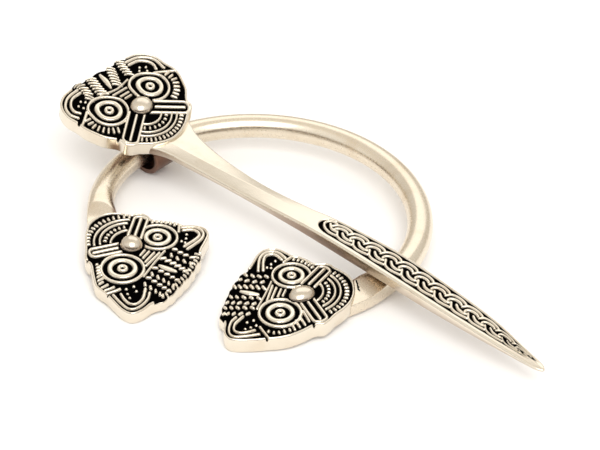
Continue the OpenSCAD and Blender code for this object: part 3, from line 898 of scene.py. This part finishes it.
def loop_ring():
    """A short tube round the bar, with rounded edges."""
    side_x = LOOP_WIDE / 2 - LOOP_ROUND
    outer = LOOP_OUTER - LOOP_ROUND
    inner = LOOP_HOLE + LOOP_ROUND
    profile = []
    for corner_x, corner_r, start in ((side_x, outer, 90), (side_x, inner, 0), (-side_x, inner, -90),
                                      (-side_x, outer, -180)):
        for a in np.radians(np.linspace(start, start - 90, 5)):
            profile.append((corner_x + LOOP_ROUND * math.cos(a), corner_r + LOOP_ROUND * math.sin(a)))
    around = 96
    n = len(profile)
    points = []
    for a in 2 * math.pi * np.arange(around) / around:
        points += [(LOOP_IN + r * math.cos(a), x, LOOP_UP + r * math.sin(a)) for x, r in profile]
    faces = [(i * n + k, i * n + (k + 1) % n, (i + 1) % around * n + (k + 1) % n, (i + 1) % around * n + k)
             for i in range(around) for k in range(n)]
    return points, faces, np.ones(len(points)), np.zeros(len(points))


# The loop's dark brown colour is painted shade
loop_metal = antique_metal("loop in painted shade", metal=(0.21, 0.125, 0.095, 1), roughness=0.24,
                           stain_and_shade=0.65, depth=0.00003)
pin_loop = make_piece("loop_ring", *loop_ring(), lay_pin(), loop_metal)
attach(pin_loop, "loop")
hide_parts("pin_loop")

# Head of the pin.
# The same beast mask, straight and symmetric, cast with the shaft and bent up a little from it.
# It is blackened and polished like the hoop's heads, and a patch of painted shade lies on its side wall by
# one cheek.
HEAD_BACK = 3.8
HEAD_BEND = math.radians(13)
BEND_X = 4.0
PIN_UNDER = 2.1


def both_sides(points):
    """A right half's line, and the same line mirrored."""
    return [list(points), [(-x, y) for x, y in points]]


# The right half of its outline, from the muzzle's middle round to the hair's, and its lines
pin_half = [
    (0.0, 7.55), (1.3, 7.35), (2.7, 6.75), (3.9, 5.95), (4.75, 5.6), (5.35, 5.0), (5.4, 4.3), (5.75, 3.75),
    (6.6, 2.8), (7.2, 1.6), (7.65, 0.4), (7.75, -0.6), (7.75, -1.9), (7.6, -3.2), (6.9, -4.35), (5.7, -5.05),
    (4.5, -5.3), (3.9, -5.75), (3.2, -5.95), (2.6, -5.55), (1.9, -5.6), (1.2, -5.45), (0.6, -5.7)]
pin_outline = pin_half + [(0.0, -5.8)] + [(-x, y) for x, y in reversed(pin_half[1:])]
pin_cheek = [(4.55, 2.85), (5.45, 2.35), (6.15, 1.55), (6.55, 0.65), (6.45, -0.45)]
inner_ear = [(6.2, -1.75), (6.5, -2.5), (6.2, -3.35), (5.3, -4.05), (3.95, -4.2)]
outer_ear = [(7.0, -1.35), (7.25, -2.4), (6.95, -3.45), (6.1, -4.25), (5.2, -4.6), (3.95, -4.72)]
ear_dot_half = [(5.2, -2.2), (4.4, -2.75), (5.5, -2.75), (4.8, -3.15)]
pin_parts = {
    "eyes": [((-3.35, -0.12), 1.0), ((3.35, -0.12), 1.0)],
    "boss": ((-0.35, 1.6), 1.5, 1.3, 0, 2.55),
    "bands": [((1.0, 2.25), (4.35, 4.75), 0.9), ((-1.0, 2.25), (-4.35, 4.75), 0.9)],
    "arcs": [((-1.5, 3.85), (0, 4.5), (1.5, 3.85)), ((-2.5, 4.6), (0, 5.75), (2.5, 4.6)),
             ((-3.0, 5.0), (0, 6.3), (3.0, 5.0))],
    "dots": ((-1.95, 4.25), (0, 5.12), (1.95, 4.25)),
    "row": ((-3.4, 5.4), (0, 6.9), (3.4, 5.4)),
    "bars": [((-0.45, -0.4), (0.45, -0.4)), ((-0.6, -0.95), (0.6, -0.95)), ((-1.05, -1.6), (1.05, -1.6))],
    "brow": [(-2.2, -2.5), (0, -2.1), (2.2, -2.5)],
    "cheeks": [(line, 8, 0.9) for line in both_sides(pin_cheek)],
    "closing": both_sides([(5.5, -1.45), (7.5, -0.25)]),
    "ears": both_sides(inner_ear) + both_sides(outer_ear),
    "ear_dots": sum(both_sides(ear_dot_half), []),
    "twists": [([(3.8, -2.7), (3.3, -3.5), (3.15, -4.8), (3.5, -5.5)], 0.5),
               ([(1.85, -2.4), (1.75, -3.5), (1.4, -5.3)], 0.62),
               ([(-0.5, -2.5), (-1.1, -3.8), (-1.75, -5.3)], 0.55),
               ([(-2.9, -2.9), (-3.1, -4.3), (-3.4, -5.5)], 0.5)],
    "leaf": [(0.35, -2.7), (0.1, -3.8), (0.05, -5.0)],
    "hair": [(4.4, -5.3), (3.9, -4.3), (3.2, -2.4), (0.0, -2.3), (-3.2, -2.4), (-3.9, -4.3), (-4.4, -5.3)],
    # Where a patch of painted shade lies on the side wall
    "painted_wall_shade": [(5.6, 3.75)],
    "nicks": [((5.3, 3.75), (5.75, 4.05)), ((7.5, -0.75), (7.85, -0.5))]}


def pin_as_cast(x, y):
    """The pin's head came out of the mould a little askew: its ears lean to the far side."""
    return 0.98 * x + 0.04 * y - 0.18 + 0.4 * ease((-y - 0.3) / 2), 1.02 * y + 0.14


pin_metal = antique_metal("blackened and polished pin", metal=(0.81, 0.74, 0.625, 1), roughness=0.17,
                          stain_and_shade=0.3, depth=0.000014)
pin_head_mesh = cast_plate(pin_outline, pin_parts, pin_as_cast)
pin_head_place = (lay_pin() @ Matrix.Translation((BEND_X, 0, PIN_UNDER)) @ Matrix.Rotation(HEAD_BEND, 4, "Y")
                  @ Matrix.Translation((-BEND_X - HEAD_BACK, 0, PLATE / 2))
                  @ Matrix.Rotation(-math.pi / 2, 4, "Z"))
pin_head = make_piece("pin_head", *pin_head_mesh, pin_head_place, pin_metal)
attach(pin_head, "pin")
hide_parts("pin")

# Shaft of the pin with its plaited panel.
# A flat cast blade that flares into the head, narrows, widens and ends in a point bent down a little.
# A plait of three strands, each with two ribs, is sunk between two smooth borders along its wide half.
PIN_LENGTH = 59.0
SHAFT_START = -0.05
PLAIN_ROWS = 170
PLAIT_ROWS = 730
TOP_POINTS = 62
PLAIT_START = 27.05
PLAIT_END = 58.2
PLAIT_DEPTH = 0.3
PLAIT_ROUND = 2.1
PLAIT_TURN = 2.35
FIRST_ARCH = 29.95
ARCH_COUNT = 12
BORDER_NEAR = 0.58
BORDER_FAR = 0.25
RIB_LINES = (0.32, 0.34)
# Share of the length, near side, far side, underside, top edge, place and height of the soft ridge
shaft_stations = np.array([
    (-0.05, 4.0, 4.1, 2.4, 3.5, -0.9, 0.0),
    (0.04, 3.3, 3.9, 2.4, 3.5, -0.9, 0.1),
    (0.09, 2.25, 2.75, 2.4, 3.36, -0.75, 0.26),
    (0.15, 1.9, 2.0, 2.38, 3.22, -0.55, 0.32),
    (0.22, 1.6, 1.6, 2.36, 3.1, -0.2, 0.34),
    (0.31, 1.36, 1.47, 2.33, 3.1, 0.25, 0.32),
    (0.42, 1.08, 1.87, 2.15, 3.33, 0.5, 0.14),
    (0.46, 1.02, 2.15, 2.08, 3.44, 0.6, 0.06),
    (0.52, 1.0, 2.45, 2.0, 3.5, 0.7, 0.03),
    (0.64, 1.08, 2.75, 2.0, 3.44, 0.8, 0.03),
    (0.76, 1.1, 2.5, 1.95, 3.15, 0.7, 0.03),
    (0.87, 0.85, 2.05, 1.85, 2.69, 0.6, 0.04),
    (0.95, 0.5, 1.22, 1.74, 2.24, 0.4, 0.06),
    (0.985, 0.28, 0.86, 1.69, 2.02, 0.35, 0.05),
    (0.995, 0.1, 0.66, 1.67, 1.95, 0.25, 0.03),
    (1.0, -0.12, 0.42, 1.66, 1.9, 0.2, 0.0)])


def along_shaft(share, column):
    """A smooth curve through one column of the stations, read at a share of the length."""
    xs = shaft_stations[:, 0]
    ws = shaft_stations[:, column]
    slope = np.empty(len(xs))
    slope[1:-1] = (ws[2:] - ws[:-2]) / (xs[2:] - xs[:-2])
    slope[0] = (ws[1] - ws[0]) / (xs[1] - xs[0])
    slope[-1] = (ws[-1] - ws[-2]) / (xs[-1] - xs[-2])
    i = np.clip(np.searchsorted(xs, share, side="right") - 1, 0, len(xs) - 2)
    h = xs[i + 1] - xs[i]
    t = (share - xs[i]) / h
    return ((2 * t ** 3 - 3 * t ** 2 + 1) * ws[i] + (t ** 3 - 2 * t ** 2 + t) * h * slope[i]
            + (3 * t ** 2 - 2 * t ** 3) * ws[i + 1] + (t ** 3 - t ** 2) * h * slope[i + 1])


def plait_room(x):
    """Middle and half width of the plaited panel at a place along the pin."""
    share = x / PIN_LENGTH
    low = BORDER_NEAR - along_shaft(share, 1)
    high = along_shaft(share, 2) - BORDER_FAR
    before = np.clip((PLAIT_START + PLAIT_ROUND - x) / PLAIT_ROUND, 0, 1)
    return (low + high) / 2, np.maximum((high - low) / 2, 0.01) * np.sqrt(1 - before ** 2)


# One turn of the plait, far row and near row: the two ribs of an arch, along the pin from its middle, and
# sideways as if the panel's half width were RIB_ROOM. Then the ribs that close the start, in the pin's axes.
RIB_ROOM = 1.62
far_ribs = [[(-1.4, 0.27), (-1.2, 0.65), (-1.0, 0.95), (-0.5, 1.16), (0.0, 1.22), (0.5, 1.17), (0.9, 1.03),
             (1.2, 0.78)],
            [(-0.78, -0.1), (-0.7, 0.25), (-0.4, 0.53), (0.0, 0.66), (0.4, 0.64), (0.68, 0.5)]]
near_ribs = [[(-1.47, -0.18), (-0.97, -0.88), (-0.4, -1.14), (0.0, -1.17), (0.6, -1.12), (1.2, -1.0)],
             [(-0.82, -0.03), (-0.28, -0.46), (0.4, -0.56), (0.7, -0.43)]]
start_ribs = [[(28.75, 1.68), (28.25, 1.72), (27.8, 1.5), (27.58, 1.1), (27.72, 0.68), (28.2, 0.3),
               (28.85, 0.08), (29.4, 0.04), (30.05, 0.12)],
              [(28.2, 1.2), (28.5, 0.9), (28.95, 0.64), (29.6, 0.62)]]


def carve_plait(x, y):
    """Three strands of two ribs each, plaited: a row of arches along each border, half a turn apart."""
    carved = Relief(np.column_stack([x, y]))
    for k in range(2 * ARCH_COUNT):
        middle = FIRST_ARCH + 0.5 * k * PLAIT_TURN
        narrow = min(1.0, max(0.45, plait_room(middle)[1] / 1.25))
        for rib, width in zip(near_ribs if k % 2 else far_ribs, RIB_LINES):
            bend = smooth_line(rib, steps=5)
            place = middle + bend[:, 0]
            centre, room = plait_room(place)
            line = np.column_stack([place, centre + bend[:, 1] / RIB_ROOM * room])
            carved.line(line, width * narrow, soft=0.09, crown=0.2)
    for rib in start_ribs:
        carved.line(smooth_line(rib, steps=6), RIB_LINES[0], soft=0.09, crown=0.2)
    centre, room = plait_room(x)
    edge = room - np.abs(y - centre)
    panel = (x > PLAIT_START) & (x < PLAIT_END)
    # The panel gets shallow towards the tip, and its black ground ends a little before it
    sunk = np.where(panel, np.clip(edge / 0.1 + 0.4, 0, 1), 0) * np.clip((PLAIT_END - x) / 2, 0, 1)
    dark = np.where(panel, np.clip(edge / 0.08 + 0.4, 0, 1), 0)
    dark = dark * np.clip((PLAIT_END - 0.2 - x) / 1.5, 0, 1) ** 0.5
    return 1 - sunk * (1 - carved.height), 1 - dark * (1 - carved.bare)


def pin_shaft():
    """Rings round the blade from its head to its tip, with the plait carved into the top."""
    first = PLAIT_START / PIN_LENGTH - 0.01
    share = np.concatenate([np.linspace(SHAFT_START, first, PLAIN_ROWS, endpoint=False),
                            np.linspace(first, 1.0, PLAIT_ROWS)])
    run = share[:, None] * PIN_LENGTH
    near, far, under, top, ridge, lift = (along_shaft(share, column)[:, None] for column in range(1, 7))
    soft = np.minimum(0.22, (near + far) * 0.22)
    v = np.linspace(0, 1, TOP_POINTS)
    y = (-near + soft) * (1 - v) + (far - soft) * v
    height, bare = carve_plait(np.repeat(run, TOP_POINTS), y.ravel())
    # Towards the head the top is a soft roof, its ridge nearer to the near side
    slope = np.where(y < ridge, (y + near) / np.maximum(ridge + near, 0.05),
                     (far - y) / np.maximum(far - ridge, 0.05))
    face = top + lift * np.clip(slope, 0, 1) ** 0.85 - PLAIT_DEPTH * (1 - height.reshape(y.shape))
    # Rounded edges: from the top over the far side, under the shaft, and up the near side
    upper = np.radians([25, 50, 75, 90])
    lower = upper - upper[0]
    drop = np.minimum(soft, (top - under) * 0.35)
    far_y = np.hstack([far - soft * (1 - np.sin(upper)), far - soft * (1 - np.cos(lower))])
    far_z = np.hstack([top - drop * (1 - np.cos(upper)), under + drop * (1 - np.sin(lower))])
    near_y = np.hstack([soft * (1 - np.cos(lower))[::-1] - near, soft * (1 - np.sin(upper))[::-1] - near])
    ring_y = np.hstack([y, far_y, near_y])
    ring_z = np.hstack([face, far_z, far_z[:, ::-1]])
    points = np.column_stack([np.repeat(run, ring_y.shape[1]), ring_y.ravel(), ring_z.ravel()])
    marks = np.ones(ring_y.shape)
    marks[:, :TOP_POINTS] = bare.reshape(y.shape)
    # Painted shade low on the near side where the shaft is narrow, under the whole shaft, and by the head
    painted_shade = np.zeros(ring_y.shape)
    narrow = np.exp(-((run - 29) / 9.5) ** 4)
    by_head = np.exp(-((run - 2) / 5.0) ** 2)
    for start, stop, amount in ((8, 13, 0.75 * narrow), (4, 12, 0.4), (8, 14, 0.8 * by_head)):
        low = slice(TOP_POINTS + start, TOP_POINTS + stop)
        painted_shade[:, low] = np.maximum(painted_shade[:, low], amount)
    return points, tube_faces(*ring_y.shape), marks.ravel(), painted_shade.ravel()


shaft = make_piece("pin_shaft", *pin_shaft(), lay_pin(), pin_metal)
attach(shaft, "pin")
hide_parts("pin")
